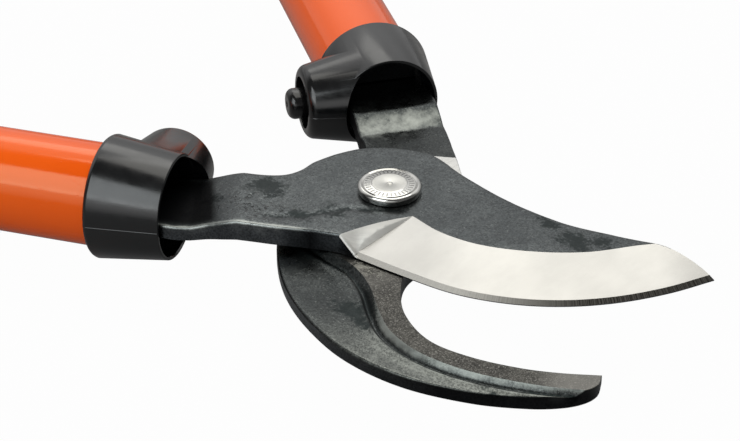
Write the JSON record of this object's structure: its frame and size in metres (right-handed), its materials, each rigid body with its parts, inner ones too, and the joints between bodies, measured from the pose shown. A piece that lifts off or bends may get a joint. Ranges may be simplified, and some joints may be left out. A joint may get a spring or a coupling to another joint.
{
  "type": "bypass lopper",
  "caption": "Long-handled bypass lopper: a ground cutting blade shears past a hooked counter blade on a centre bolt, with painted tube handles, collars with rubber buffers and slip-on grips.",
  "frame": {"origin": "on the pivot axis, at the flat lower end of the centre bolt", "axes": "+X towards the jaws, along the line midway between the handles; +Z along the pivot axis towards the bolt's head; +Y towards the counter blade's handle"},
  "size_m": [0.6783, 0.7066, 0.0417],
  "materials": {
    "forged": "forged and blued, with a bright ground bevel",
    "forged_hook": "forged and blued, ground on the anvil strip",
    "plated": "satin plated",
    "steel": "zinc plated",
    "paint": "glossy orange paint on steel tube",
    "collar_plastic": "semi-gloss black, moulded",
    "nylon": "black nylon",
    "buffer_rubber": "semi-gloss black rubber",
    "grip_vinyl": "matte black soft vinyl"
  },
  "bodies": {
    "counter_side": {"counter_blade": "forged_hook", "pivot_bolt": "plated", "pivot_washer": "steel", "pivot_nut": "steel", "left_handle_tube": "paint", "left_tang_liner": "nylon", "left_tang_pin": "steel", "left_collar": "collar_plastic", "left_buffer": "buffer_rubber", "left_grip": "grip_vinyl"},
    "cutting_side": {"cutting_blade": "forged", "right_handle_tube": "paint", "right_tang_liner": "nylon", "right_tang_pin": "steel", "right_collar": "collar_plastic", "right_buffer": "buffer_rubber", "right_grip": "grip_vinyl"}
  },
  "joints": [
    {"name": "pivot", "type": "hinge", "parent": "counter_side", "child": "cutting_side", "pos_m": [0, 0, 0.01825], "axis": [0, 0, 1], "range_deg": [-33.4, 25]}
  ]
}
